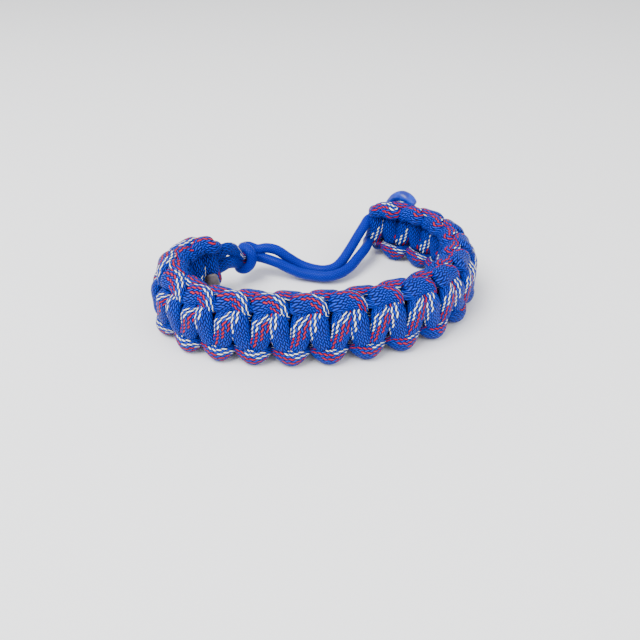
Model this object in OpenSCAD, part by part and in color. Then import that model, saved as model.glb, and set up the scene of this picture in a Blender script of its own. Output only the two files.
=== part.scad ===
// Woven cord bracelet standing on its long edge: a flat band of two knotting cords
// tied over two core strands, closed at the back by a plain cord loop that is
// hitched through the bight of the core.
// Millimetres. +Z up, the band's front faces -Y, the closing loop is at +Y.

/* [Band] */
// Length of the woven band along its middle line
band_len = 160; // [140:5:180]
// Height of the band as it stands, edge to edge
band_w = 17.8; // [15:0.2:21]
// Thickness of the band, inner to outer face
band_t = 9; // [8:0.1:11]
// Half knots along the band
half_knots = 32; // [28:2:34]

/* [Core] */
// Width of one flattened core strand
core_w = 3.5; // [2.8:0.1:3.7]
// Thickness of one flattened core strand
core_t = 2.2; // [1.8:0.1:2.4]
// Distance between the middles of the two core strands
core_gap = 4.1; // [3.9:0.1:4.3]
// Width of a core strand where the hitch squeezes it
bight_d = 2.3; // [2:0.1:2.4]

/* [Closing loop] */
// Diameter of the plain closing cord
loop_d = 3.1; // [2.6:0.1:3.2]
// Width of the plain cord where it wraps the bight
wrap_w = 3.5; // [2.8:0.1:3.8]
// Thickness of the plain cord where it wraps the bight
wrap_t = 2.5; // [2:0.1:2.6]
// Depth that the closing cord reaches into the band's end
loop_grip = 4.5; // [3:0.5:8]

/* [Melted ends] */
// Width of the flattened tail on the top edge
tail_w = 3.6; // [3:0.1:4.2]
// Thickness of the flattened tail
tail_t = 1.6; // [1:0.1:1.8]
// Width of the scorched cord end on the inner face
scorch_w = 3.6; // [3:0.1:4.2]
// Thickness of the scorched cord end
scorch_t = 1.1; // [0.8:0.1:1.4]

/* [Fit] */
// Clearance between pieces that lie on each other
fit_gap = 0.25; // [0.15:0.05:0.4]

/* [Hidden] */

SIDES = 8;
CORE_SIDES = 6;
half_w = band_w / 2;
half_t = band_t / 2;
// The knots go in pairs, one to each side.
knots = 2 * round(half_knots / 2);
step = band_len / knots;

// Plan of the band: share of its length, turn to the left in degrees.
SHARE = 0;
TURN = 1;
PLAN = [
  [3 / 32, 62], [3 / 32, 62], [3 / 32, 34], [4 / 32, 15],
  [6 / 32, 27], [5 / 32, 45], [5 / 32, 58], [3 / 32, 36]
];
// The band's start as shares of its length, and its heading.
BAND_START = [-0.18125 * band_len, 0.09125 * band_len, 189.4];

// One knotting cord from a crossing to the middle of the next edge bump.
// along in half knots, up in half widths, out in half thicknesses;
// wide as a share of a half knot and of the half width,
// deep as a share of the half thickness and of the half width.
ALONG = 0;
UP = 1;
OUT = 2;
WIDE_S = 3;
WIDE_W = 4;
DEEP_T = 5;
DEEP_W = 6;
WEAVE = [
  [0, 0, 0.6, 0.76, 0, 0.51, 0],
  [0, 0.38, 0.69, 0.68, 0, 0.49, 0],
  [-0.25, 0.58, 0.15, 0.42, 0, 0, 0.2],
  [-0.1, 0.82, -0.64, 0.24, 0.13, 0.24, 0.12],
  [0.5, 0.82, -0.51, 0, 0.4, 0.6, 0]
];
LAST = len(WEAVE) - 1;

function unit(v) = v / norm(v);
function arc_step(p, l, turn) =
  let (m = p[2] + turn / 2, c = l * sin(turn / 2) / (turn * PI / 360))
  [p[0] + c * cos(m), p[1] + c * sin(m), p[2] + turn];

// Start of each arc: x, y, heading, length so far.
function plan_starts(i = 0, p = BAND_START, s = 0) =
  i == len(PLAN) ? [] :
  let (l = PLAN[i][SHARE] * band_len)
  concat([[p[0], p[1], p[2], s]],
    plan_starts(i + 1, arc_step(p, l, PLAN[i][TURN]), s + l));
STARTS = plan_starts();

function arc_at(s, i = 0) =
  i == len(STARTS) - 1 || s < STARTS[i + 1][3] ? i : arc_at(s, i + 1);

// Middle line at length s: x, y, heading. Outside the band it runs on straight.
function plan(s) =
  s < 0 ? [
    BAND_START[0] + s * cos(BAND_START[2]),
    BAND_START[1] + s * sin(BAND_START[2]), BAND_START[2]
  ] :
  let (i = arc_at(s), a = STARTS[i], l = PLAN[i][SHARE] * band_len)
  let (k = min(s - a[3], l))
  k < 0.001 ? [a[0], a[1], a[2]] :
  let (p = arc_step(a, k, PLAN[i][TURN] * k / l), over = s - a[3] - k)
  [p[0] + over * cos(p[2]), p[1] + over * sin(p[2]), p[2]];

// Point of the band: s along, t up from mid height, n outwards.
function spot(s, t, n) =
  let (p = plan(s))
  [p[0] + n * sin(p[2]), p[1] - n * cos(p[2]), t];
function outwards(s, up, out) =
  let (h = plan(s)[2])
  [out * sin(h), -out * cos(h), up];

// A ring is centre, outward direction, width, thickness.
function ring_points(rings, i, sides) =
  let (last = len(rings) - 1)
  let (t = unit(rings[min(i + 1, last)][0] - rings[max(i - 1, 0)][0]))
  let (o = rings[i][1] - (rings[i][1] * t) * t, d = unit(o), b = cross(t, d))
  [
    for (k = [0:sides - 1])
      rings[i][0]
      + b * (rings[i][2] / 2 * sin(360 * k / sides))
      + d * (rings[i][3] / 2 * cos(360 * k / sides))
  ];
function skin_points(rings, sides) =
  [for (i = [0:len(rings) - 1]) each ring_points(rings, i, sides)];
function skin_faces(count, sides) = [
  [for (k = [0:sides - 1]) k],
  for (i = [0:count - 2], k = [0:sides - 1])
    let (a = i * sides + k, b = i * sides + (k + 1) % sides)
    each [[a, a + sides, b + sides], [a, b + sides, b]],
  [for (k = [sides - 1:-1:0]) (count - 1) * sides + k]
];
module tube(rings, sides = SIDES) {
  polyhedron(skin_points(rings, sides), skin_faces(len(rings), sides), convexity = 10);
}

// One row of the weave after crossing k, or before it when back is true.
// face is 1 for the cord that crosses in front and -1 for the one behind.
function weave_ring(k, row, back, face) =
  let (r = WEAVE[row], up = (k % 2 == 0 ? 1 : -1) * (back ? -1 : 1) * face)
  let (s = (k + (back ? -1 : 1) * r[ALONG]) * step)
  [
    spot(s, up * r[UP] * half_w, face * r[OUT] * half_t),
    outwards(s, up * r[UP], face * r[OUT]),
    r[WIDE_S] * step + r[WIDE_W] * half_w,
    r[DEEP_T] * half_t + r[DEEP_W] * half_w
  ];
function end_ring(k, row, back, face, share) =
  let (r = weave_ring(k, row, back, face))
  [r[0], r[1], r[2] * share, r[3] * share];
END_SHARE = 0.7;
function knot_rings(face) = concat(
  [end_ring(0, LAST - 1, true, face, END_SHARE), weave_ring(0, LAST - 2, true, face)],
  [weave_ring(0, 1, true, face), weave_ring(0, 0, false, face)],
  [
    for (k = [0:knots - 1]) each concat(
      [for (row = [1:LAST]) weave_ring(k, row, false, face)],
      [for (row = [LAST - 1:-1:1]) weave_ring(k + 1, row, true, face)],
      [weave_ring(k + 1, 0, false, face)]
    )
  ],
  [weave_ring(knots, 1, false, face), weave_ring(knots, LAST - 2, false, face)],
  [end_ring(knots, LAST - 1, false, face, END_SHARE)]
);
RINGS_A = knot_rings(1);
RINGS_B = knot_rings(-1);

// The band stands on its lower bumps.
function least(pts, i) = min([for (p = pts) p[i]]);
function most(pts, i) = max([for (p = pts) p[i]]);
BAND_SKIN = concat(skin_points(RINGS_A, SIDES), skin_points(RINGS_B, SIDES));
FOOT = least(BAND_SKIN, 2);

// Knot of the closing loop: its middle from the band's start, direction of the stem.
KNOT = [
  BAND_START[0] + 0.0425 * band_len, BAND_START[1] + 0.0469 * band_len, -0.0787 * band_w
];
STEM_DIR = 47;
function at_knot(u, w, z) = [
  KNOT[0] + u * cos(STEM_DIR) + w * sin(STEM_DIR),
  KNOT[1] + u * sin(STEM_DIR) - w * cos(STEM_DIR),
  KNOT[2] + z
];

// Core: up the band, out at its start, round the bight and back.
STEM_MID = [
  BAND_START[0] + 0.0213 * band_len, BAND_START[1] + 0.0188 * band_len, 0.073 * band_w
];
SIDE_ON = [sin(STEM_DIR), -cos(STEM_DIR), 0];
bight_r = bight_d / 2 + fit_gap / 4;
bight_start = -wrap_w / 2 - fit_gap;
bight_end = wrap_w / 7;
function core_run(side) = [
  for (s = [band_len - loop_grip - 2 * fit_gap:-step:step / 2])
    [spot(s, side * core_gap / 2, 0), outwards(s, 0, 1), core_w, core_t]
];
function stem_run(side) = [
  [spot(0, side * core_gap / 2, 0), outwards(0, 0, 1), core_w, core_t],
  [spot(-step * 0.38, side * core_gap / 2, 0), outwards(0, 0, 1), core_w, core_t],
  [STEM_MID + [0, 0, side * core_gap / 2], -SIDE_ON, core_w, core_t],
  [at_knot(bight_start * 1.8, 0, (side * 0.42 + 0.29) * core_gap), -SIDE_ON, core_w * 0.85, core_t],
  [at_knot(bight_start, 0, side * bight_r), -SIDE_ON, bight_d, bight_d],
  [at_knot(0, 0, side * bight_r), -SIDE_ON, bight_d, bight_d]
];
function reversed(v) = [for (i = [len(v) - 1:-1:0]) v[i]];
BIGHT = [
  for (a = [90, 45, 0, -45, -90])
    [
      at_knot(bight_end + bight_r * cos(a), 0, bight_r * sin(a)),
      -SIDE_ON, bight_d, bight_d
    ]
];
CORE = concat(core_run(1), stem_run(1), BIGHT, reversed(stem_run(-1)),
  reversed(core_run(-1)));

// Plain cord: the wrap over the bight, then the two legs back to the band's end.
// Wrap: along the stem as a share of its width, sideways and up as shares of its reach.
wrap_off = bight_d / 2 + wrap_t / 2 + fit_gap;
wrap_top = bight_r + wrap_off;
HITCH = [
  [0.91, -1.11, 0.48], [0.37, -1.08, 0.54], [0, -0.6, 1], [0, 0.23, 1.03],
  [0, 0.96, 0.62], [0, 1.04, 0], [0, 0.96, -0.62],
  [0, 0.23, -1.03], [0, -0.6, -1], [0.37, -1.08, -0.54], [0.91, -1.11, -0.48]
];
LEG_SHARE = 0.9;
HITCH_RINGS = [
  for (i = [0:len(HITCH) - 1])
    let (p = HITCH[i], end = i == 0 || i == len(HITCH) - 1)
    let (w = p[1] * wrap_off, z = p[2] * wrap_top)
    [
      at_knot(p[0] * wrap_w, w, z),
      at_knot(0, w, z) - at_knot(wrap_w / 6, 0, 0),
      end ? loop_d * LEG_SHARE : wrap_w, end ? loop_d * LEG_SHARE : wrap_t
    ]
];

// Routes of the two legs: x and y in hundredths of the band's length, height over
// the surface in diameters.
FAR_ROUTE = [
  [-12, 16.69, 2.84], [-10.12, 16.56, 3.03], [-8.25, 16.25, 2.87], [-6, 16, 2],
  [-3.75, 15.56, 1.19], [-1.25, 14.88, 0.9], [0.94, 14.44, 0.9], [2.75, 14.94, 1.03],
  [4.12, 16.25, 1.35], [5.88, 18.69, 2.13], [7.31, 21.12, 2.97], [8.12, 23, 3.61],
  [8.62, 24.87, 4]
];
NEAR_ROUTE = [
  [-11.81, 16.31, 1.71], [-10, 15.25, 1.55], [-8.12, 14.31, 1.48],
  [-5.94, 13.75, 1.16], [-3.75, 13.37, 0.9], [-1.25, 12.88, 0.77], [0.94, 12.44, 0.77],
  [3.38, 12.88, 0.9], [5.5, 14.62, 1.1], [7.38, 17.38, 1.48], [8.87, 20.12, 1.74],
  [9.5, 22.25, 1.74], [9.69, 24.12, 1.68]
];
// Into the band's end: how far before it in cord widths, spread from the core's place.
LEG_IN = [[1.2, 1.6], [0.7, 1.2], [0, 1]];
function leg_rings(route, root, side) = concat(
  [
    for (away = [fit_gap * 0.6, loop_d * 0.4])
      [hitch_end(root, away), [0, 0, 1], loop_d * LEG_SHARE, loop_d * LEG_SHARE]
  ],
  [
    for (p = route)
      let (x = p[0] * band_len / 100, y = p[1] * band_len / 100, z = p[2] * loop_d + FOOT)
      [[x, y, z], [0, 0, 1], loop_d, loop_d]
  ],
  [
    for (e = concat([for (r = LEG_IN) [r[0] * loop_d, r[1]]], [[-loop_grip, 1]]))
      let (d = min(loop_d * 0.95, core_gap - fit_gap))
      [spot(band_len + e[0], side * core_gap / 2 * e[1], 0), [0, 0, 1], d, d]
  ]
);
function hitch_end(i, away) =
  let (p = HITCH_RINGS[i][0], q = HITCH_RINGS[i == 0 ? 1 : i - 1][0])
  p + unit(p - q) * away;
FAR_RINGS = leg_rings(FAR_ROUTE, 0, 1);
NEAR_RINGS = leg_rings(NEAR_ROUTE, len(HITCH) - 1, -1);

// Flattened tail: up the outer face at the band's end, then over its top edge.
// along in half knots from the end, up as a share of the half width, lift and off as
// shares of the thickness, out as a share of the half thickness,
// wide and thick as shares of the tail's own size, lean of the flat side to the top
TAIL = [
  // along, up, lift, out, off, wide, thick, lean
  [-0.24, 0.48, 0, 0.91, 0.5, 0.7, 1.2, 0],
  [-0.32, 0.75, 0, 0.96, 0.5, 0.8, 1.1, 0.2],
  [-0.56, 0.93, 0.5, 0.96, 0.4, 0.9, 1, 0.7],
  [-0.96, 1.02, 0.95, 0.88, 0.1, 1, 1, 1],
  [-1.44, 1.02, 1.05, 0.78, 0, 1, 1, 1],
  [-1.8, 1, 0.95, 0.71, 0, 0.8, 0.8, 1],
  [-2.04, 0.98, 0.75, 0.69, 0, 0.5, 0.5, 1]
];
TAIL_RINGS = [
  for (r = TAIL)
    let (s = band_len + r[0] * step)
    [
      spot(s, r[1] * half_w + r[2] * tail_t, r[3] * half_t + r[4] * tail_t),
      outwards(s, r[7], 1 - r[7]), tail_w * r[5], tail_t * r[6]
    ]
];

// Scorched end of the knotting cord, pressed flat on the inner face.
// along in half knots, up as a share of the half width, in as a share of the half
// thickness, off as a share of its thickness, wide and thick as shares of its own size
SCORCH = [
  // along, up, in, off, wide, thick
  [0.22, -0.78, 0.81, 0.5, 0.7, 1.2],
  [0.3, -0.63, 0.9, 0.6, 0.85, 1.1],
  [0.44, -0.47, 0.94, 0.5, 0.95, 1],
  [0.54, -0.27, 0.94, 0.5, 1, 1],
  [0.58, -0.09, 0.94, 0.5, 0.9, 0.9],
  [0.58, 0.03, 0.94, 0.5, 0.6, 0.6]
];
SCORCH_RINGS = [
  for (r = SCORCH)
    let (s = r[0] * step)
    [
      spot(s, r[1] * half_w, -r[2] * half_t - r[3] * scorch_t),
      outwards(s, 0, -1), scorch_w * r[4], scorch_t * r[5]
    ]
];

// The origin is under the middle of the box of all that is not a free cord.
BOX_SKIN = concat(BAND_SKIN, skin_points(TAIL_RINGS, SIDES));
function middle(i) = (least(BOX_SKIN, i) + most(BOX_SKIN, i)) / 2;
SHIFT = [-middle(0), -middle(1), -FOOT];

module knot_cord_a() {
  color([0.06, 0.3, 0.75]) tube(RINGS_A);
}

module knot_cord_b() {
  color([0.1, 0.4, 0.85]) tube(RINGS_B);
}

module core_cord() {
  color([0.75, 0.3, 0.25]) tube(CORE, CORE_SIDES);
}

module loop_hitch() {
  color([0.2, 0.6, 0.95]) tube(HITCH_RINGS);
}

module loop_leg_far() {
  color([0, 0.35, 0.85]) tube(FAR_RINGS);
}

module loop_leg_near() {
  color([0, 0.45, 0.95]) tube(NEAR_RINGS);
}

module loop_tail() {
  color([0.1, 0.5, 1]) tube(TAIL_RINGS);
}

module scorched_end() {
  color([0.4, 0.37, 0.38]) tube(SCORCH_RINGS);
}

translate(SHIFT) {
  knot_cord_a();
  knot_cord_b();
  core_cord();
  loop_hitch();
  loop_leg_far();
  loop_leg_near();
  loop_tail();
  scorched_end();
}
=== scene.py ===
"""Looks of a knotted cord bracelet, in metres, in the frame of its solids."""
import logging
import math
from dataclasses import dataclass, field
from enum import Enum
from typing import Any, ClassVar, Sequence

import bpy
import numpy as np
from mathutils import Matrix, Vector


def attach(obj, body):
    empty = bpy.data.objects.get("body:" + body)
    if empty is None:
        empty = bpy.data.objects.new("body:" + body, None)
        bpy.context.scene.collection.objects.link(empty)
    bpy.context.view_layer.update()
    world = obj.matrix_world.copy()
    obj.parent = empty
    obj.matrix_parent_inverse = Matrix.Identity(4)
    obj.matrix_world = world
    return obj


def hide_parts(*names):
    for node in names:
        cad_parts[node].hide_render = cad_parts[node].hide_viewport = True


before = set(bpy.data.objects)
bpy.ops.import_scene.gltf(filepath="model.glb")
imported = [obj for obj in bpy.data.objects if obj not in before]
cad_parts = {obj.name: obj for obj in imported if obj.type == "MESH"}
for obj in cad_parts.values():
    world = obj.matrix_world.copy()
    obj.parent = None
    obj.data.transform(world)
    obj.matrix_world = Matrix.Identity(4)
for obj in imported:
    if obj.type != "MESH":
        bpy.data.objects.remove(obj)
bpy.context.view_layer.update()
LOG = logging.getLogger("bracelet")
MM = 0.001
# From the plan's own origin to the frame's, and the height of the band's middle, in mm.
SHIFT = np.array([0.11, -11.9, 8.77])
Colour = tuple[float, float, float, float]
Point = tuple[float, float, float]


class Face(Enum):
    """Side of the band on which a knotting cord makes its crossings."""

    OUTER = 1
    INNER = -1


class Val:
    """A node's output with arithmetic: an expression adds its Math nodes."""

    def __init__(self, kit: "NodeKit", socket: Any) -> None:
        """Wraps a socket.

        Args:
            kit: maker of the tree's nodes.
            socket: output socket that holds the value.
        """
        self.kit = kit
        self.socket = socket

    def out(self, name: Any) -> "Val":
        """Another output, by name or place, of the node that this one is from."""
        return Val(self.kit, self.socket.node.outputs[name])

    def _op(self, operation: str, *values: Any) -> "Val":
        """Adds one Math node.

        Args:
            operation: the node's operation.
            values: numbers or values that it works on.

        Returns:
            The node's result.
        """
        return self.kit.node("ShaderNodeMath", {"operation": operation}, dict(enumerate(values)))

    def __add__(self, other: Any) -> "Val":
        """Sum."""
        return self._op("ADD", self, other)

    __radd__ = __add__

    def __sub__(self, other: Any) -> "Val":
        """Difference."""
        return self._op("SUBTRACT", self, other)

    def __rsub__(self, other: Any) -> "Val":
        """Reflected difference."""
        return self._op("SUBTRACT", other, self)

    def __mul__(self, other: Any) -> "Val":
        """Product."""
        return self._op("MULTIPLY", self, other)

    __rmul__ = __mul__

    def __truediv__(self, other: Any) -> "Val":
        """Quotient."""
        return self._op("DIVIDE", self, other)

    def __rtruediv__(self, other: Any) -> "Val":
        """Reflected quotient."""
        return self._op("DIVIDE", other, self)

    def __mod__(self, other: Any) -> "Val":
        """Remainder, never negative."""
        return self._op("FLOORED_MODULO", self, other)

    def __lt__(self, other: Any) -> "Val":
        """1 where smaller, otherwise 0."""
        return self._op("LESS_THAN", self, other)

    def __gt__(self, other: Any) -> "Val":
        """1 where greater, otherwise 0."""
        return self._op("GREATER_THAN", self, other)

    def floor(self) -> "Val":
        """Whole part."""
        return self._op("FLOOR", self)

    def sin(self) -> "Val":
        """Sine of an angle in radians."""
        return self._op("SINE", self)

    def cos(self) -> "Val":
        """Cosine of an angle in radians."""
        return self._op("COSINE", self)

    def most(self, other: Any) -> "Val":
        """The greater of two."""
        return self._op("MAXIMUM", self, other)

    def clamp(self) -> "Val":
        """Kept between 0 and 1."""
        return self.kit.node("ShaderNodeClamp", {}, {"Value": self})


class NodeKit:
    """Makes the nodes of one tree, of a material or of geometry."""

    def __init__(self, tree: Any) -> None:
        """Keeps the tree.

        Args:
            tree: node tree that the nodes go into.
        """
        self.tree = tree

    def node(
        self, kind: str, settings: dict[str, Any], inputs: dict[Any, Any], out: Any = 0
    ) -> Val:
        """Adds any node.

        Args:
            kind: the node's type name.
            settings: its properties, set first.
            inputs: socket name or place to number, colour, Val or socket.
            out: name or place of the output to return.

        Returns:
            The chosen output.
        """
        made = self.tree.nodes.new(kind)
        for key, value in settings.items():
            setattr(made, key, value)
        for key, value in inputs.items():
            socket = made.inputs[key]
            if isinstance(value, Val):
                value = value.socket
            if isinstance(value, bpy.types.NodeSocket):
                self.tree.links.new(value, socket)
            else:
                socket.default_value = value
        return Val(self, made.outputs[out] if made.outputs else None)

    def mix(self, share: Any, low: Any, high: Any) -> Val:
        """Mixes two colours.

        Args:
            share: 0 for the first, 1 for the second.
            low: first colour.
            high: second colour.

        Returns:
            The mixed colour.
        """
        # by place, because the node has sockets of the same names for other types
        factor, first, second, mixed = 0, 6, 7, 2
        settings = {"data_type": "RGBA", "clamp_factor": True}
        sockets = {factor: share, first: low, second: high}
        return self.node("ShaderNodeMix", settings, sockets, mixed)

    def vector(self, operation: str, *values: Val) -> Val:
        """Adds a Vector Math node.

        Args:
            operation: the node's operation.
            values: values that it works on; SCALE takes a vector and a number.

        Returns:
            The node's result.
        """
        sockets = (0, "Scale") if operation == "SCALE" else (0, 1)
        settings = {"operation": operation}
        return self.node("ShaderNodeVectorMath", settings, dict(zip(sockets, values)))

    def noise(self, place: Val, scale: float, detail: float) -> Val:
        """Adds a noise texture.

        Args:
            place: where it is read.
            scale: its scale per metre.
            detail: its detail.

        Returns:
            The noise, about 0.5 on average.
        """
        inputs = {"Vector": place, "Scale": scale, "Detail": detail}
        return self.node("ShaderNodeTexNoise", {}, inputs)

    def bump(self, height: Val, distance: float, strength: float = 1.0) -> Val:
        """Adds a bump.

        Args:
            height: height of the relief.
            distance: depth of the relief in metres.
            strength: share of it that shows.

        Returns:
            The bent normal.
        """
        inputs = {"Strength": strength, "Distance": distance, "Height": height}
        return self.node("ShaderNodeBump", {}, inputs)

    def surface(self, inputs: dict[str, Any]) -> None:
        """Ends the tree in a Principled shader.

        Args:
            inputs: the shader's socket names and what goes into them.
        """
        shader = self.node("ShaderNodeBsdfPrincipled", {}, inputs)
        self.node("ShaderNodeOutputMaterial", {}, {"Surface": shader})


def hump(share: Val) -> Val:
    """Rises from 0 to 1 and sinks back over a share of 0 to 1."""
    return share * (1 - share) * 4


def new_material(name: str) -> tuple[bpy.types.Material, NodeKit]:
    """Starts a material with an empty tree.

    Args:
        name: its name.

    Returns:
        The material and the maker of its nodes.
    """
    made = bpy.data.materials.new(name)
    made.use_nodes = True
    made.node_tree.nodes.clear()
    return made, NodeKit(made.node_tree)


def shade(red: float, green: float, blue: float) -> Colour:
    """A colour from sRGB numbers of 0 to 255.

    Args:
        red: red.
        green: green.
        blue: blue.

    Returns:
        The linear colour with alpha 1.
    """
    parts = [v / 255 for v in (red, green, blue)]
    lin = [p / 12.92 if p <= 0.04045 else ((p + 0.055) / 1.055) ** 2.4 for p in parts]
    return (lin[0], lin[1], lin[2], 1.0)


@dataclass(frozen=True)
class BraidFinish:
    """Braided nylon sheath: two sets of yarns, each over two and under two."""

    name: str
    # yarns of a set, and length of cord in which one goes round once
    carriers: int = 24
    lay: float = 27.9 * MM
    # carriers with a white and with an orange tracer yarn, side by side
    white: tuple[int, ...] = ()
    orange: tuple[int, ...] = ()
    # blue and lit_blue are shaded and lit copies of the cord's blue, for painted light on the yarns
    blue: Colour = shade(0, 18, 126)
    lit_blue: Colour = shade(0, 62, 218)
    # painted shade: the dark blue that the yarns turn where they sink into the gaps
    gap_shade_blue: Colour = shade(0, 6, 40)
    white_yarn: Colour = shade(252, 252, 255)
    orange_yarn: Colour = shade(190, 26, 18)
    relief: float = 0.28 * MM
    # how far the weave lifts a yarn over the others, and how far the roundness of the
    # yarn that it crosses does, as shares of its own roundness
    lift: float = 1.1
    bead: float = 0.7
    # scales of the two noises per metre, and what they and the height do to the tone: the noises
    # vary it at random, the height paints light on the yarns' tops and shade lower down
    wear_scale: float = 240.0
    fibre_scale: float = 3000.0
    base_tone: float = 0.4
    wear_tone: float = 0.7
    fibre_tone: float = 0.8
    painted_light_tone: float = 2.4
    mean_height: float = 0.75
    # a tracer's colour starts some way up the yarn's side
    yarn_slope: float = 1.8
    yarn_offset: float = 0.5
    # below this height the yarns are in shade
    gap_height: float = 0.82
    gap_slope: float = 4.0
    gap_share: float = 0.92
    roughness: float = 0.42
    wear_roughness: float = 0.25
    specular: float = 0.1

    @staticmethod
    def _chosen(place: Val, chosen: Sequence[int]) -> Val:
        """Finds the tracer carriers, which lie side by side.

        Args:
            place: number of the carrier.
            chosen: numbers of the tracer carriers, in order.

        Returns:
            1 on these carriers, otherwise 0.
        """
        return (place > chosen[0] - 0.5) * (place < chosen[-1] + 0.5)

    def _yarns(self, kit: NodeKit) -> tuple[Val, Val, Val]:
        """Works out where the yarns of the two sets pass over each other.

        Args:
            kit: maker of the nodes.

        Returns:
            The number of the tracers' carrier at a place, how much of its yarn's colour
            shows there, and the height of the upper yarn.
        """
        surface = kit.node("ShaderNodeUVMap", {"uv_map": "UVMap"}, {})
        around = kit.node("ShaderNodeSeparateXYZ", {}, {0: surface})
        count = float(self.carriers)
        climb = around.out(1) * (count / self.lay)
        tracer = climb - around * count
        plain = climb + around * count
        tracer_at, plain_at = tracer.floor(), plain.floor()
        tracer_round, plain_round = hump(tracer - tracer_at), hump(plain - plain_at)
        quarter = math.pi / 2
        tracer_high = tracer_round + ((plain - tracer_at) * quarter).sin() * self.lift
        plain_high = plain_round + ((plain_at - tracer - 1) * quarter).sin() * self.lift
        tracer_high = tracer_high + plain_round * self.bead
        plain_high = plain_high + tracer_round * self.bead
        shows = (tracer_round * self.yarn_slope - self.yarn_offset).clamp()
        height = tracer_high.most(plain_high) / (1 + self.lift + self.bead)
        return tracer_at % count, (tracer_high > plain_high) * shows, height

    def build(self) -> bpy.types.Material:
        """Builds the material.

        Returns:
            The material.
        """
        made, kit = new_material(self.name)
        number, yarn, height = self._yarns(kit)
        place = kit.node("ShaderNodeTexCoord", {}, {}, "Object")
        wear = kit.noise(place, self.wear_scale, 3.0) - 0.5
        fibre = kit.noise(place, self.fibre_scale, 1.0) - 0.5
        # the noises vary the tone at random; the height term is painted light, lighter on the
        # yarns' tops and darker lower down
        tone_and_painted_light = wear * self.wear_tone + fibre * self.fibre_tone
        tone_and_painted_light = tone_and_painted_light + (height - self.mean_height) * self.painted_light_tone
        colour = kit.mix((tone_and_painted_light + self.base_tone).clamp(), self.blue, self.lit_blue)
        for chosen, yarn_colour in ((self.orange, self.orange_yarn), (self.white, self.white_yarn)):
            if chosen:
                colour = kit.mix(self._chosen(number, chosen) * yarn, colour, yarn_colour)
        # painted shade: below gap_height the colour turns towards the dark gap blue
        gap = ((self.gap_height - height) * self.gap_slope).clamp()
        colour = kit.mix(gap * self.gap_share, colour, self.gap_shade_blue)
        kit.surface(
            {
                "Base Color": colour,
                "Roughness": wear * self.wear_roughness + self.roughness,
                "Normal": kit.bump(height, self.relief),
                "Specular IOR Level": self.specular,
            }
        )
        return made


@dataclass(frozen=True)
class MeltedFinish:
    """Nylon that was melted and pressed flat: smooth, a little uneven."""

    name: str
    low: Colour
    high: Colour
    roughness: float = 0.38
    # noise of the colour: its scale per metre, where the high colour starts, how fast
    cloud_scale: float = 420.0
    cloud_low: float = 0.35
    cloud_slope: float = 3.0
    # finer noise: its scale per metre, and share of it in roughness and relief
    ripple_scale: float = 1500.0
    ripple_share: float = 0.3
    relief: float = 0.2 * MM
    strength: float = 0.5

    def build(self) -> bpy.types.Material:
        """Builds the material.

        Returns:
            The material.
        """
        made, kit = new_material(self.name)
        place = kit.node("ShaderNodeTexCoord", {}, {}, "Object")
        cloud = kit.noise(place, self.cloud_scale, 4.0)
        ripple = kit.noise(place, self.ripple_scale, 2.0)
        share = ((cloud - self.cloud_low) * self.cloud_slope).clamp()
        height = cloud + ripple * self.ripple_share
        kit.surface(
            {
                "Base Color": kit.mix(share, self.low, self.high),
                "Roughness": self.roughness + (ripple - 0.5) * self.ripple_share,
                "Normal": kit.bump(height, self.relief, self.strength),
            }
        )
        return made


@dataclass(frozen=True)
class FloorFinish:
    """Plain white paper of the studio."""

    name: str = "white_paper"
    tint: Colour = (0.93, 0.935, 0.95, 1.0)
    roughness: float = 0.65
    specular: float = 0.2

    def build(self) -> bpy.types.Material:
        """Builds the material.

        Returns:
            The material.
        """
        made, kit = new_material(self.name)
        kit.surface(
            {
                "Base Color": self.tint,
                "Roughness": self.roughness,
                "Specular IOR Level": self.specular,
            }
        )
        return made


@dataclass(frozen=True)
class Finish:
    """A braid and its built material."""

    braid: BraidFinish
    material: bpy.types.Material


@dataclass(frozen=True)
class BandPlan:
    """Middle line of the band in plan, made of arcs, in mm and degrees."""

    PARTS: ClassVar[int] = 32
    length: float = 160.0
    half_knots: int = 32
    # x, y and heading
    start: Point = (-29.0, 14.6, 189.4)
    # parts of the length, PARTS in all, and turn
    arcs: tuple[tuple[int, float], ...] = (
        (3, 62), (3, 62), (3, 34), (4, 15), (6, 27), (5, 45), (5, 58), (3, 36)
    )

    @property
    def step(self) -> float:
        """Length of a half knot."""
        return self.length / self.half_knots

    def at(self, s: float) -> Point:
        """Place and heading at a length along the band.

        Args:
            s: length along the middle line, in mm.

        Returns:
            x, y and the heading in radians.
        """
        x, y, h = self.start[0], self.start[1], math.radians(self.start[2])
        done = 0.0
        if s > 0:
            for parts, degrees in self.arcs:
                whole = parts / self.PARTS * self.length
                covered = min(s - done, whole)
                turn = math.radians(degrees) * covered / whole
                if covered > 0:
                    chord = covered * math.sin(turn / 2) / (turn / 2)
                    x += chord * math.cos(h + turn / 2)
                    y += chord * math.sin(h + turn / 2)
                    h += turn
                done += whole
                if s < done:
                    break
            s = max(0.0, s - self.length)
        return x + s * math.cos(h), y + s * math.sin(h), h

    def spot(self, s: float, t: float, n: float) -> np.ndarray:
        """Point of the band.

        Args:
            s: length along it.
            t: height over its middle.
            n: distance outwards.

        Returns:
            The point in mm, before the shift to the frame's origin.
        """
        x, y, h = self.at(s)
        return np.array([x + n * math.sin(h), y - n * math.cos(h), t])

    def outwards(self, s: float, up: float, out: float) -> np.ndarray:
        """Direction from the band's middle.

        Args:
            s: length along the band.
            up: share upwards.
            out: share outwards.

        Returns:
            The direction.
        """
        h = self.at(s)[2]
        return np.array([out * math.sin(h), -out * math.cos(h), up])


BAND = BandPlan()
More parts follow.
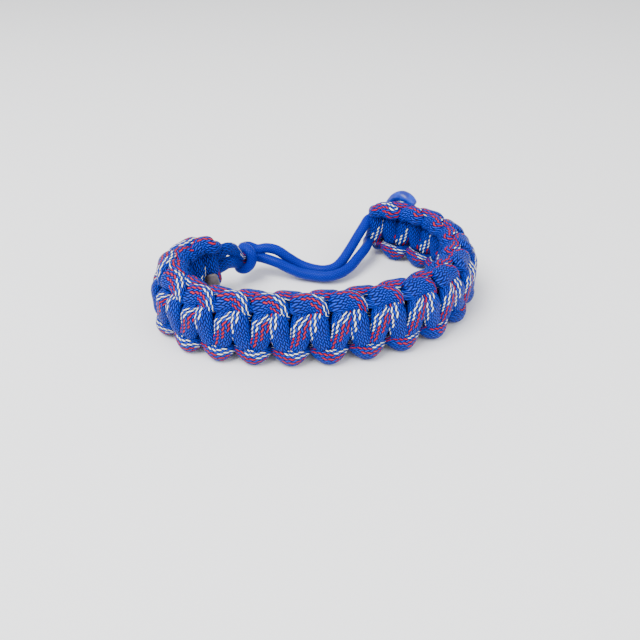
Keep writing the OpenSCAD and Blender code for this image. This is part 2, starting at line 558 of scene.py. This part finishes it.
# A row is one section of a route: centre, outward direction, width, thickness in mm and
# the number of the tracer carrier on its outward side, or HOLD or FREE. In the points
# that smooth() makes, the braid's turn stands in the place of the carrier.
Row = np.ndarray
CENTRE, OUTWARD, SIZE, LAST = slice(0, 3), slice(3, 6), slice(6, 8), 8
HOLD = -1.0  # the braid runs on from the nearest row with a number
FREE = -2.0  # the braid turns as the rows around it need
SPAN_POINTS = 16  # points of the fine line between two rows
SHUT = 0.004  # share of its size to which a closed end narrows


def read_table(table: Sequence[tuple[float, float]], place: float) -> float:
    """Reads a table of places and values, evenly between its places.

    Args:
        table: place and value, in order.
        place: the place to read.

    Returns:
        The value there.
    """
    return float(np.interp(place, *zip(*table)))


def steps(places: np.ndarray) -> np.ndarray:
    """Distances between the neighbouring points of a line."""
    return np.linalg.norm(np.diff(places, axis=0), axis=1)


def run_to(places: np.ndarray) -> np.ndarray:
    """Length of a line up to each of its points."""
    return np.concatenate([[0], np.cumsum(steps(places))])


def row(
    centre: np.ndarray, out: np.ndarray, wide: float, deep: float, tracer: float = FREE
) -> Row:
    """One section of a route.

    Args:
        centre: its middle in mm.
        out: direction of its thickness.
        wide: width in mm.
        deep: thickness in mm.
        tracer: number of the tracer carrier that faces outwards, HOLD or FREE.

    Returns:
        The row.
    """
    unit = np.asarray(out, float) / np.linalg.norm(out)
    return np.concatenate([centre, unit, [wide, deep, tracer]])


def add_object(name: str, data: Any) -> bpy.types.Object:
    """Makes an object and links it to the scene.

    Args:
        name: its name.
        data: its mesh, camera or light.

    Returns:
        The object.
    """
    made = bpy.data.objects.new(name, data)
    bpy.context.scene.collection.objects.link(made)
    return made


def braid_turns(tracer: np.ndarray, run: np.ndarray, finish: BraidFinish) -> np.ndarray:
    """Works out how far the braid is turned at each row.

    Args:
        tracer: last column of the rows.
        run: length along the cord at each row, in mm.
        finish: the braid.

    Returns:
        The turns, not a number where they are free.
    """
    turns = np.full(len(tracer), np.nan)
    fixed = np.flatnonzero(tracer >= 0)
    last = 0.0
    for i in fixed:
        turn = run[i] * MM / finish.lay - tracer[i] / finish.carriers
        last = turns[i] = turn + round(last - turn)
    for i in np.flatnonzero(tracer == HOLD):
        turns[i] = turns[fixed[np.argmin(abs(fixed - i))]]
    return turns


def fine_line(rows: np.ndarray) -> np.ndarray:
    """Runs a centripetal spline through the rows.

    Args:
        rows: sections of the route.

    Returns:
        SPAN_POINTS points a span, and the last row.
    """
    ctrl = np.vstack([2 * rows[0] - rows[1], rows, 2 * rows[-1] - rows[-2]])
    fine = []
    for i in range(1, len(ctrl) - 2):
        p0, p1, p2, p3 = ctrl[i - 1 : i + 3]
        d = [max(1e-6, gap) ** 0.5 for gap in steps(ctrl[i - 1 : i + 3, CENTRE])]
        m1 = (p1 - p0) / d[0] - (p2 - p0) / (d[0] + d[1]) + (p2 - p1) / d[1]
        m2 = (p2 - p1) / d[1] - (p3 - p1) / (d[1] + d[2]) + (p3 - p2) / d[2]
        m1, m2 = m1 * d[1], m2 * d[1]
        for u in np.linspace(0, 1, SPAN_POINTS, endpoint=False):
            a, b = u * u, u * u * u
            start, end = (2 * b - 3 * a + 1) * p1, (3 * a - 2 * b) * p2
            fine.append(start + (b - 2 * a + u) * m1 + end + (b - a) * m2)
    fine.append(ctrl[-2])
    return np.array(fine)


def smooth(
    rows: Sequence[Row],
    spacing: float,
    rounded: tuple[float, float],
    finish: BraidFinish | None = None,
) -> np.ndarray:
    """Runs a smooth line through the rows and spaces its points evenly.

    Args:
        rows: sections of the route.
        spacing: distance between the points in mm.
        rounded: lengths over which the first and last end close, 0 for a flat end.
        finish: the braid, if it has tracer yarns.

    Returns:
        The points, one row each, with the braid's turn in the last column.
    """
    table = np.array(rows)
    fine = fine_line(table)
    run = run_to(fine[:, CENTRE])
    places = np.linspace(0, run[-1], max(8, int(run[-1] / spacing)))
    out = np.array([np.interp(places, run, column) for column in fine.T]).T
    out[:, LAST] = 0
    if finish:
        length = run_to(out[:, CENTRE])
        at_rows = np.interp(run[::SPAN_POINTS], places, length)
        turns = braid_turns(table[:, LAST], at_rows, finish)
        known = ~np.isnan(turns)
        out[:, LAST] = np.interp(length, at_rows[known], turns[known])
    for end, size in ((places, rounded[0]), (run[-1] - places, rounded[1])):
        if size:
            close = np.sqrt(np.clip(1 - (1 - np.clip(end / size, 0, 1)) ** 2, 0, 1))
            out[:, SIZE] *= np.maximum(close, SHUT)[:, None]
    return out


class CordSweep:
    """Geometry Nodes tree that sweeps an oval section along a line of points."""

    def __init__(self) -> None:
        """Builds the tree once for all cords."""
        self.tree = self._build()

    def _build(self) -> bpy.types.NodeTree:
        """Builds the tree.

        Returns:
            The tree.
        """
        tree = bpy.data.node_groups.new("cord_sweep", "GeometryNodeTree")
        for name, kind in (
            ("Line", "Geometry"),
            ("Rings", "Int"),
            ("Sides", "Int"),
            ("Length", "Float"),
            ("Finish", "Material"),
        ):
            tree.interface.new_socket(name, in_out="INPUT", socket_type="NodeSocket" + kind)
        tree.interface.new_socket("Cord", in_out="OUTPUT", socket_type="NodeSocketGeometry")
        kit = NodeKit(tree)
        given = kit.node("NodeGroupInput", {}, {}, "Line")
        curve = kit.node("GeometryNodeMeshToCurve", {}, {"Mesh": given})
        size = {"Size X": 1.0, "Size Y": 1.0}
        counts = {"Vertices X": given.out("Rings"), "Vertices Y": given.out("Sides") + 1.0}
        grid = kit.node("GeometryNodeMeshGrid", {}, size | counts, "Mesh")
        place = kit.node(
            "ShaderNodeSeparateXYZ", {}, {0: kit.node("GeometryNodeInputPosition", {}, {})}
        )
        along = place + 0.5
        around = (place.out(1) + 0.5) * (2 * math.pi)
        outward = self._sample(kit, curve, along, "outward")
        section = self._sample(kit, curve, along, "section")
        tangent = outward.out("Tangent")
        side = kit.vector("NORMALIZE", kit.vector("CROSS_PRODUCT", tangent, outward))
        out = kit.vector("CROSS_PRODUCT", side, tangent)
        half = kit.node("ShaderNodeSeparateXYZ", {}, {0: section})
        offset = kit.vector(
            "ADD",
            kit.vector("SCALE", side, half * around.sin()),
            kit.vector("SCALE", out, half.out(1) * around.cos()),
        )
        flat = kit.node("ShaderNodeSeparateXYZ", {}, {0: grid.out("UV Map")})
        turned = flat.out(1) + half.out(2)
        uv = kit.node("ShaderNodeCombineXYZ", {}, {0: turned, 1: flat * given.out("Length")})
        stored = kit.node(
            "GeometryNodeStoreNamedAttribute",
            {"data_type": "FLOAT2", "domain": "CORNER"},
            {"Geometry": grid, "Name": "UVMap", "Value": uv},
        )
        # the grid's own places drive both, so the grid is moved last
        ring = kit.vector("ADD", outward.out("Position"), offset)
        made = kit.node("GeometryNodeSetPosition", {}, {"Geometry": stored, "Position": ring})
        # the merge closes the seam along the cord and its two ends
        for kind, inputs in (
            ("GeometryNodeMergeByDistance", {"Distance": 0.03 * MM}),
            ("GeometryNodeSetShadeSmooth", {}),
            ("GeometryNodeRealizeInstances", {}),
            ("GeometryNodeSetMaterial", {"Material": given.out("Finish")}),
        ):
            made = kit.node(kind, {}, {"Geometry": made} | inputs)
        kit.node("NodeGroupOutput", {}, {"Cord": made})
        return tree

    @staticmethod
    def _sample(kit: NodeKit, curve: Val, along: Val, name: str) -> Val:
        """Reads a vector attribute of the line at each ring.

        Args:
            kit: maker of the nodes.
            curve: the line.
            along: share of its length.
            name: the attribute.

        Returns:
            The attribute's value, from the node that also gives place and tangent.
        """
        kind = {"data_type": "FLOAT_VECTOR"}
        value = kit.node("GeometryNodeInputNamedAttribute", kind, {"Name": name})
        return kit.node(
            "GeometryNodeSampleCurve",
            {"mode": "FACTOR", "use_all_curves": False} | kind,
            {"Curves": curve, "Value": value, "Factor": along},
            "Value",
        )

    def make(
        self, name: str, points: np.ndarray, sides: int, finish: bpy.types.Material
    ) -> bpy.types.Object:
        """Sweeps one cord.

        Args:
            name: the piece's name.
            points: evenly spaced rows of its route, in mm.
            sides: number of sides of the section.
            finish: its material.

        Returns:
            The finished mesh object.
        """
        place = (points[:, CENTRE] + SHIFT) * MM
        line = bpy.data.meshes.new(name + "_line")
        count = len(place)
        line.from_pydata(place.tolist(), [(i, i + 1) for i in range(count - 1)], [])
        section = np.column_stack([points[:, SIZE] * MM / 2, points[:, LAST]])
        for label, data in (("outward", points[:, OUTWARD]), ("section", section)):
            attribute = line.attributes.new(label, "FLOAT_VECTOR", "POINT")
            attribute.data.foreach_set("vector", np.ascontiguousarray(data, float).ravel())
        carrier = add_object(name + "_line", line)
        modifier = carrier.modifiers.new("sweep", "NODES")
        modifier.node_group = self.tree
        length = float(steps(place).sum())
        values = {"Rings": count, "Sides": sides, "Length": length, "Finish": finish}
        for item in self.tree.interface.items_tree:
            if item.in_out == "INPUT" and item.name in values:
                modifier[item.identifier] = values[item.name]
        graph = bpy.context.evaluated_depsgraph_get()
        mesh = bpy.data.meshes.new_from_object(carrier.evaluated_get(graph), depsgraph=graph)
        mesh.name = name
        made = add_object(name, mesh)
        bpy.data.objects.remove(carrier)
        bpy.data.meshes.remove(line)
        return made


def dress(made: bpy.types.Object, node: str) -> bpy.types.Object:
    """Puts a piece in the place of its solid.

    Args:
        made: the piece.
        node: the solid's node.

    Returns:
        The piece.
    """
    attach(made, "root")
    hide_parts(node)
    return made


@dataclass(frozen=True)
class WeaveRow:
    """One section of a knotting cord between a crossing and a bump's middle.

    Along is in half knots from the crossing, up and out in mm from the band's middle,
    wide and deep in mm. The outward side leans from up (0 degrees) to out (90).
    """

    along: float
    up: float
    out: float
    wide: float
    deep: float
    lean: float


# Where the crossings lie: the hand-tied half knots are a little uneven. Number, mm.
STATIONS = ((0, 3.2), (6, 33.0), (10, 50.2), (14, 68.8), (18, 88.0), (33, 163.0))
CROSSING = WeaveRow(0.0, 0.0, 2.8, 5.1, 3.3, 90)
TOP_FLANK = WeaveRow(-0.09, 3.6, 2.7, 5.3, 3.3, 76)
TOP_PASS = WeaveRow(-0.15, 5.6, 1.0, 4.3, 2.9, 50)
# A bump's start, middle and end, and the dip where the cord goes under.
TOP_BUMP = (
    WeaveRow(-0.2, 7.3, -0.3, 5.6, 3.3, -34),
    WeaveRow(0.5, 7.7, 0.3, 5.6, 3.3, -31),
    WeaveRow(-0.04, 6.9, -0.6, 4.4, 3.2, -44),
    WeaveRow(-0.24, 4.9, -0.8, 3.0, 2.8, -60),
)
LOW_FLANK = WeaveRow(-0.16, 2.6, 2.6, 4.8, 3.3, 72)
LOW_PASS = WeaveRow(-0.28, 4.5, 0.4, 3.0, 2.9, 45)
LOW_BUMP = (
    WeaveRow(-0.16, 5.1, -1.5, 4.0, 3.2, -58),
    WeaveRow(0.5, 6.05, -3.1, 5.3, 3.3, -80),
    WeaveRow(-0.16, 5.1, -1.5, 4.0, 3.2, -58),
    WeaveRow(-0.27, 4.8, 0.1, 3.0, 2.9, 10),
)
# The top bumps stand taller near the band's start. Number of the crossing, mm more.
RISE = ((0, 1.5), (4, 1.5), (7, 0))
# How far the bumps' tracers have moved. Number of the crossing, carriers.
DRIFT_A = ((0, -2.2), (6, -2.2), (9, 0), (21, 0), (25, -2.2), (30, -2.2), (32, -6.0))
DRIFT_B = (
    (11, 0), (12, -0.6), (13, -1.4), (14, -1.8), (15, -2.9), (16, -2.1), (17, -3.7), (18, -2.4),
    (19, -5.0), (20, -3.0), (21, -5.0), (32, -5.0),
)


@dataclass
class KnotCord:
    """One of the two cords that are knotted round the core."""

    node: str
    face: Face
    # how far out of the band's middle its bumps lie, and share of their rows' own out
    bumps_out: float
    sway: float
    # number of the crossing, and how far the bumps' tracers have moved there
    drift: tuple[tuple[float, float], ...]
    # tracer carriers that face outwards at the bumps after even and odd crossings, and
    # at these crossings
    bump: tuple[float, float]
    crossing: tuple[float, float] = (20.7, 7.3)
    spacing: float = 0.5
    sides: int = 24
    rounded: tuple[float, float] = (1.2, 1.2)

    def _row(
        self, k: int, place: WeaveRow, before: bool, tracer: float, bump: bool = False
    ) -> Row:
        """One section of the weave.

        Args:
            k: number of the crossing.
            place: its place from the crossing.
            before: True before the crossing, False after it.
            tracer: number of the tracer carrier that faces outwards, HOLD or FREE.
            bump: True for a section of a bump.

        Returns:
            The row.
        """
        turn = -1 if before else 1
        sign = self._sign(k) * turn
        s = read_table(STATIONS, k) + turn * place.along * BAND.step
        lean = math.radians(place.lean)
        out, up = self.face.value * place.out, place.up
        if bump:
            out = self.bumps_out + out * self.sway
            up += read_table(RISE, k) if sign > 0 else 0.0
        return row(
            BAND.spot(s, sign * up, out),
            BAND.outwards(s, sign * math.cos(lean), self.face.value * math.sin(lean)),
            place.wide,
            place.deep,
            tracer,
        )

    def _sign(self, k: int) -> int:
        """1 where the cord climbs at this crossing, -1 where it goes down."""
        return (1 if k % 2 == 0 else -1) * self.face.value

    def _bump_tracer(self, k: int) -> float:
        """Finds the tracer carrier on a bump's outward side.

        Args:
            k: number of the crossing before it.

        Returns:
            The carrier's number.
        """
        return (self.bump[k % 2] + read_table(self.drift, k)) % BraidFinish.carriers

    def _leave(self, k: int) -> list[Row]:
        """Sections from a crossing to the middle of its bump.

        Args:
            k: number of the crossing.

        Returns:
            The rows, the crossing first.
        """
        top = self._sign(k) > 0
        start, middle = (TOP_BUMP if top else LOW_BUMP)[:2]
        return [
            self._row(k, CROSSING, False, self.crossing[k % 2]),
            self._row(k, TOP_FLANK if top else LOW_FLANK, False, HOLD),
            self._row(k, TOP_PASS if top else LOW_PASS, False, FREE),
            self._row(k, start, False, HOLD, True),
            self._row(k, middle, False, self._bump_tracer(k), True),
        ]

    def _arrive(self, k: int) -> list[Row]:
        """Sections from the middle of a bump to the crossing, both left out.

        Args:
            k: number of the crossing.

        Returns:
            The rows.
        """
        top = self._sign(k) < 0
        end, dip = (TOP_BUMP if top else LOW_BUMP)[2:]
        return [
            self._row(k, end, True, HOLD, True),
            self._row(k, dip, True, HOLD),
            self._row(k, TOP_PASS if top else LOW_PASS, True, FREE),
            self._row(k, TOP_FLANK if top else LOW_FLANK, True, HOLD),
        ]

    def route(self) -> list[Row]:
        """Sections along the whole cord.

        Returns:
            The rows.
        """
        rows = self._arrive(0)
        last = STATIONS[-1][0]
        for k in range(last):
            rows += self._leave(k) + self._arrive(k + 1)
        return rows + self._leave(last)[:-1]

    def build(self, sweep: CordSweep, finish: Finish) -> bpy.types.Object:
        """Sweeps the cord and puts it in the place of its solid.

        Args:
            sweep: maker of swept cords.
            finish: its braid and material.

        Returns:
            The piece.
        """
        points = smooth(self.route(), self.spacing, self.rounded, finish.braid)
        made = sweep.make(self.node + "_cord", points, self.sides, finish.material)
        return dress(made, self.node)


@dataclass
class CoreCord:
    """The core: two strands in the band that leave it and turn in the closing knot."""

    knot: "ClosingKnot"
    node: str = "core_cord"
    # distance between the strands' middles in mm, and their width and thickness from
    # the band to the knot, inside the band and in the bight
    spread: float = 4.1
    wide: float = 3.9
    deep: float = 2.9
    inside: tuple[float, float] = (3.6, 2.4)
    bight: tuple[float, float] = (2.4, 2.5)
    # rows inside the band, in mm along it: first, end and step
    hidden: Point = (154.0, 3.0, -5.0)
    # middle of the stem, the short stretch between the band and the knot
    stem_mid: Point = (-25.6, 17.6, 2.0)
    # half the distance between the strands in the bight, and the turn's radius
    bight_half: float = 1.22
    bight_radius: float = 1.25
    # tracer carriers on the outer side of the upper and the lower strand
    tracer: tuple[float, float] = (8.0, 2.0)

    def _strand(self, side: int) -> list[Row]:
        """One strand from the band's end to the bight.

        Args:
            side: 1 for the upper, -1 for the lower one.

        Returns:
            The rows.
        """
        t = side * self.spread / 2
        knot, size = self.knot, (self.wide, self.deep)
        band_out, stem_out = BAND.outwards(0, 0, 1), -knot.side_on()
        rows = [
            row(BAND.spot(s, t, 0), BAND.outwards(s, 0, 1), *self.inside)
            for s in np.arange(*self.hidden)
        ]
        # out of the band's left end, rising, and along the stem into the knot
        rows.append(row(BAND.spot(0.5, t + 1.8, 0), band_out, *size))
        rows.append(row(BAND.spot(-2.0, t * 1.1 + 3.0, 0.5), band_out, *size, HOLD))
        middle = np.array(self.stem_mid) + [0, 0, t]
        rows.append(row(middle, stem_out, *size, self.tracer[side < 0]))
        rows.append(row(knot.at(-3.9, 0, t * 0.86 + 1.7), stem_out, 3.4, self.deep, HOLD))
        rows.append(row(knot.at(-2.0, 0, side * self.bight_half), stem_out, 2.5, 2.6))
        rows.append(row(knot.at(0, 0, side * self.bight_half), stem_out, *self.bight))
        return rows

    def _turn(self) -> list[Row]:
        """The bight's turn from the upper strand to the lower one.

        Returns:
            The rows.
        """
        rows = []
        for degrees in (60, 0, -60):
            a = math.radians(degrees)
            along = 0.5 + self.bight_radius * math.cos(a)
            place = self.knot.at(along, 0, self.bight_radius * math.sin(a))
            rows.append(row(place, -self.knot.side_on(), *self.bight))
        return rows

    def build(self, sweep: CordSweep, finish: Finish) -> bpy.types.Object:
        """Sweeps the core.

        Args:
            sweep: maker of swept cords.
            finish: its braid and material.

        Returns:
            The piece.
        """
        rows = self._strand(1) + self._turn() + self._strand(-1)[::-1]
        points = smooth(rows, spacing=0.6, rounded=(0.8, 0.8), finish=finish.braid)
        made = sweep.make("core_strands", points, sides=20, finish=finish.material)
        return dress(made, self.node)


@dataclass
class ClosingKnot:
    """The plain cord's wrap over the bight of the core."""

    node: str = "loop_hitch"
    middle: Point = (-22.2, 22.1, -1.2)
    heading: float = 47.0
    # width and thickness in mm at its ends, next to them and between these
    end: tuple[float, float] = (2.3, 2.3)
    next_end: tuple[float, float] = (3.0, 2.9)
    between: tuple[float, float] = (3.1, 2.7)
    # along the stem, towards the inside of the ring, up, in mm; it ends inside the legs
    wrap: tuple[Point, ...] = (
        (4.1, -2.1, 1.25), (3.3, -2.95, 1.64), (1.6, -2.8, 2.1), (0.5, -1.6, 2.9),
        (0.4, 0.5, 3.0), (0.3, 2.2, 2.0), (0.1, 2.6, 0.3), (-0.7, 2.4, -1.4),
        (-2.0, 1.5, -2.5), (-2.3, -0.4, -2.8), (-1.0, -1.9, -2.6), (1.3, -2.8, -2.2),
        (3.3, -2.95, -2.04), (3.9, -1.9, -1.9),
    )

    def at(self, u: float, w: float, z: float) -> np.ndarray:
        """Point near the knot.

        Args:
            u: along the stem.
            w: towards the inside of the ring.
            z: upwards.

        Returns:
            The point in mm.
        """
        a = math.radians(self.heading)
        return np.array(self.middle) + [
            u * math.cos(a) + w * math.sin(a), u * math.sin(a) - w * math.cos(a), z
        ]

    def side_on(self) -> np.ndarray:
        """Direction towards the inside of the ring."""
        a = math.radians(self.heading)
        return np.array([math.sin(a), -math.cos(a), 0.0])

    def build(self, sweep: CordSweep, finish: bpy.types.Material) -> bpy.types.Object:
        """Sweeps the wrap.

        Args:
            sweep: maker of swept cords.
            finish: its material.

        Returns:
            The piece.
        """
        rows = []
        for i, (u, w, z) in enumerate(self.wrap):
            from_end = min(i, len(self.wrap) - 1 - i, 2)
            size = (self.end, self.next_end, self.between)[from_end]
            out = self.at(-0.6, w, z) - self.at(0, 0, 0)
            rows.append(row(self.at(u, w, z), out, *size))
        points = smooth(rows, spacing=0.3, rounded=(0.5, 0.5))
        made = sweep.make("closing_wrap", points, sides=24, finish=finish)
        return dress(made, self.node)


@dataclass
class LoopLeg:
    """One leg of the closing loop, free between the knot and the band's end."""

    node: str
    side: int
    # place in the closing knot, and the route from there with heights over the floor
    root: Point
    route: tuple[Point, ...]
    diameter: float = 3.1
    # diameter inside the knot and the band, and at the tip in the wrap, with its place
    held: float = 3.0
    tip: float = 2.3
    to_tip: Point = (-0.8, -0.9, 0.0)
    # past the band's end, and height as a share of the core strands' own
    ends: tuple[tuple[float, float], ...] = ((3.72, 1.6), (2.17, 1.2), (0.0, 1.0), (-4.0, 1.0))
    strand_up: float = CoreCord.spread / 2

    def build(self, sweep: CordSweep, finish: bpy.types.Material) -> bpy.types.Object:
        """Args:
            sweep: maker of swept cords.
            finish: its material.

        Returns:
            The piece.
        """
        up = np.array([0.0, 0.0, 1.0])
        base = up * SHIFT[2]
        root = np.array(self.root)
        rows = [row(root + self.to_tip, up, self.tip, self.tip)]
        rows.append(row(root, up, self.held, self.held))
        rows += [row(p - base, up, self.diameter, self.diameter) for p in np.array(self.route)]
        for past, share in self.ends:
            place = BAND.spot(BAND.length + past, self.side * self.strand_up * share, 0)
            rows.append(row(place, up, self.held, self.held))
        points = smooth(rows, spacing=0.4, rounded=(0.4, 0.4))
        made = sweep.make(self.node + "_cord", points, sides=20, finish=finish)
        dress(made, self.node)
        path = (points[:, CENTRE] + SHIFT) * MM
        path[::2].tolist() + [path[-1].tolist()]
        return made


@dataclass
class LoopTail:
    """Melted and flattened end of the closing cord on the band's top edge."""

    node: str = "loop_tail"
    # along from the end, height, distance outwards, width, thickness, lean to the top
    rows: tuple[tuple[float, float, float, float, float, float], ...] = (
        (0.4, 3.2, 1.4, 2.4, 2.0, 0.0), (0.3, 4.3, 3.9, 2.7, 2.1, 0.0),
        (-0.5, 6.3, 4.9, 3.1, 2.5, 0.2), (-2.0, 8.7, 4.4, 3.7, 3.2, 0.6),
        (-3.8, 9.8, 3.7, 4.2, 3.5, 0.8), (-5.5, 9.6, 3.2, 4.3, 3.1, 0.9),
        (-6.9, 8.9, 2.9, 3.7, 2.3, 1.0), (-8.0, 8.1, 2.8, 2.4, 1.4, 1.0),
    )

    def build(self, sweep: CordSweep, finish: bpy.types.Material) -> bpy.types.Object:
        """Sweeps the tail.

        Args:
            sweep: maker of swept cords.
            finish: its material.

        Returns:
            The piece.
        """
        rows = []
        for along, t, n, wide, deep, lean in self.rows:
            s = BAND.length + along
            rows.append(row(BAND.spot(s, t, n), BAND.outwards(s, lean, 1 - lean), wide, deep))
        points = smooth(rows, spacing=0.25, rounded=(0.6, 0.5))
        made = sweep.make("melted_tail", points, sides=24, finish=finish)
        return dress(made, self.node)


@dataclass
class DarkGreyEnd:
    """Dark grey, flattened end of the knotting cord on the inner face."""

    node: str = "scorched_end"
    # along, height, distance inwards, width, thickness
    rows: tuple[tuple[float, float, float, float, float], ...] = (
        (2.3, -6.9, 4.2, 2.6, 1.4), (2.7, -5.6, 4.8, 3.1, 1.3), (3.2, -4.2, 4.9, 3.6, 1.3),
        (3.6, -2.4, 5.0, 3.8, 1.3), (3.8, -0.6, 5.0, 3.5, 1.2), (3.8, 0.8, 4.9, 2.6, 0.9),
    )

    def build(self, sweep: CordSweep, finish: bpy.types.Material) -> bpy.types.Object:
        """Sweeps the end.

        Args:
            sweep: maker of swept cords.
            finish: its material.

        Returns:
            The piece.
        """
        rows = [
            row(BAND.spot(s, t, -n), BAND.outwards(s, 0, -1), wide, deep)
            for s, t, n, wide, deep in self.rows
        ]
        points = smooth(rows, spacing=0.2, rounded=(0.5, 0.6))
        made = sweep.make("dark_grey_pad", points, sides=24, finish=finish)
        return dress(made, self.node)


@dataclass
class Studio:
    """White paper, soft light and the camera at the photo's angle."""

    eye: Point = (0.11 * MM, -160.6 * MM, 100.3 * MM)
    elevation: float = 34.0
    focal: float = 36.28
    paper: FloorFinish = field(default_factory=FloorFinish)
    # half the paper's side in metres, and the strength of the even light
    half: float = 3.0
    daylight: float = 1.1

    def camera(self) -> None:
        """Places the camera."""
        data = bpy.data.cameras.new("camera")
        data.lens = self.focal
        data.sensor_width = 36.0
        data.clip_start = 0.005
        data.clip_end = 20.0
        made = add_object("camera", data)
        made.location = self.eye
        made.rotation_euler = (math.radians(90 - self.elevation), 0, 0)
        bpy.context.scene.camera = made

    def floor(self) -> bpy.types.Object:
        """Lays the paper.

        Returns:
            The floor.
        """
        mesh = bpy.data.meshes.new("floor")
        h = self.half
        corners = [(-h, -h, 0), (h, -h, 0), (h, h, 0), (-h, h, 0)]
        mesh.from_pydata(corners, [], [(0, 1, 2, 3)])
        mesh.materials.append(self.paper.build())
        made = add_object("floor", mesh)
        return made

    def light(self, name: str, place: Point, size: float, power: float) -> None:
        """Adds a soft area light that faces the origin.

        Args:
            name: its name.
            place: where it hangs, in metres.
            size: its side in metres.
            power: its power in watts.
        """
        data = bpy.data.lights.new(name, "AREA")
        data.shape = "SQUARE"
        data.size = size
        data.energy = power
        made = add_object(name, data)
        made.location = place
        made.rotation_euler = (-Vector(place)).to_track_quat("-Z", "Y").to_euler()

    def world(self) -> None:
        """Lights the room evenly."""
        world = bpy.data.worlds.new("white_room")
        world.use_nodes = True
        background = world.node_tree.nodes["Background"]
        background.inputs["Color"].default_value = (1.0, 1.0, 1.0, 1.0)
        background.inputs["Strength"].default_value = self.daylight
        bpy.context.scene.world = world


# From the knot to the band's right end: x and y in the plan, height over the floor, mm.
FAR_ROUTE = (
    (-19.2, 26.5, 8.2), (-16.2, 26.3, 8.7), (-13.2, 25.9, 8.2), (-9.6, 25.5, 5.8),
    (-6.0, 24.9, 3.7), (-2.0, 23.8, 2.8), (1.5, 23.1, 2.8), (4.4, 23.9, 3.2),
    (6.6, 26.0, 4.2), (9.4, 29.9, 6.6), (11.9, 33.8, 9.1), (13.8, 36.7, 10.9), (15.4, 39.4, 12.1),
)
NEAR_ROUTE = (
    (-18.9, 25.8, 5.9), (-16.0, 24.5, 5.8), (-13.0, 23.3, 5.3), (-9.5, 22.3, 3.9),
    (-6.0, 21.4, 2.8), (-2.0, 20.6, 2.4), (1.5, 19.9, 2.4), (5.4, 20.6, 2.8),
    (8.8, 23.4, 3.4), (11.8, 27.8, 4.6), (14.2, 32.2, 5.4), (15.2, 35.6, 5.4), (15.5, 38.6, 5.2),
)


def main() -> None:
    """Builds the studio and the bracelet."""
    logging.basicConfig(level=logging.INFO, format="%(message)s")
    studio = Studio()
    studio.camera()
    studio.floor()
    studio.world()
    studio.light("key", (-0.35, -0.25, 0.75), size=0.5, power=12.0)
    studio.light("fill", (0.6, -0.5, 0.5), size=0.6, power=4.0)
    sweep = CordSweep()
    forwards = BraidFinish("braid_forwards", white=(0, 1, 2, 3), orange=(4, 5, 6, 7))
    backwards = BraidFinish("braid_backwards", white=(4, 5, 6, 7), orange=(0, 1, 2, 3))
    cord_a = Finish(forwards, forwards.build())
    cord_b = Finish(backwards, backwards.build())
    plain = BraidFinish(
        "plain_braid",
        carriers=20,
        lay=16.0 * MM,
        # blue and lit_blue are shaded and lit copies, for painted light on the yarns
        blue=shade(0, 22, 140),
        lit_blue=shade(0, 44, 192),
        # painted shade between the yarns
        gap_shade_blue=shade(0, 16, 105),
        relief=0.06 * MM,
    ).build()
    melted = MeltedFinish("melted_nylon", shade(0, 30, 140), shade(0, 60, 200)).build()
    # a dark grey finish, darker and lighter at random, for the flat end on the inner face
    scorched = MeltedFinish(
        "dark_grey_nylon", shade(62, 56, 60), shade(118, 108, 112), roughness=0.5
    ).build()
    knot = ClosingKnot()
    made = [
        LoopLeg("loop_leg_far", 1, (-22.08, 26.55, 0.44), FAR_ROUTE).build(sweep, plain),
        LoopLeg("loop_leg_near", -1, (-22.08, 26.55, -3.24), NEAR_ROUTE).build(sweep, plain),
        KnotCord(
            "knot_cord_a", Face.OUTER, bumps_out=-3.4, sway=0.4, drift=DRIFT_A, bump=(11.2, 11.2)
        ).build(sweep, cord_a),
        KnotCord(
            "knot_cord_b", Face.INNER, bumps_out=0.0, sway=1.0, drift=DRIFT_B, bump=(2.7, 2.5)
        ).build(sweep, cord_b),
        CoreCord(knot).build(sweep, cord_a),
        knot.build(sweep, plain),
        LoopTail().build(sweep, melted),
        DarkGreyEnd().build(sweep, scorched),
    ]
    for piece in made:
        LOG.info("%s: %d faces", piece.name, len(piece.data.polygons))


if __name__ == "__main__":
    main()
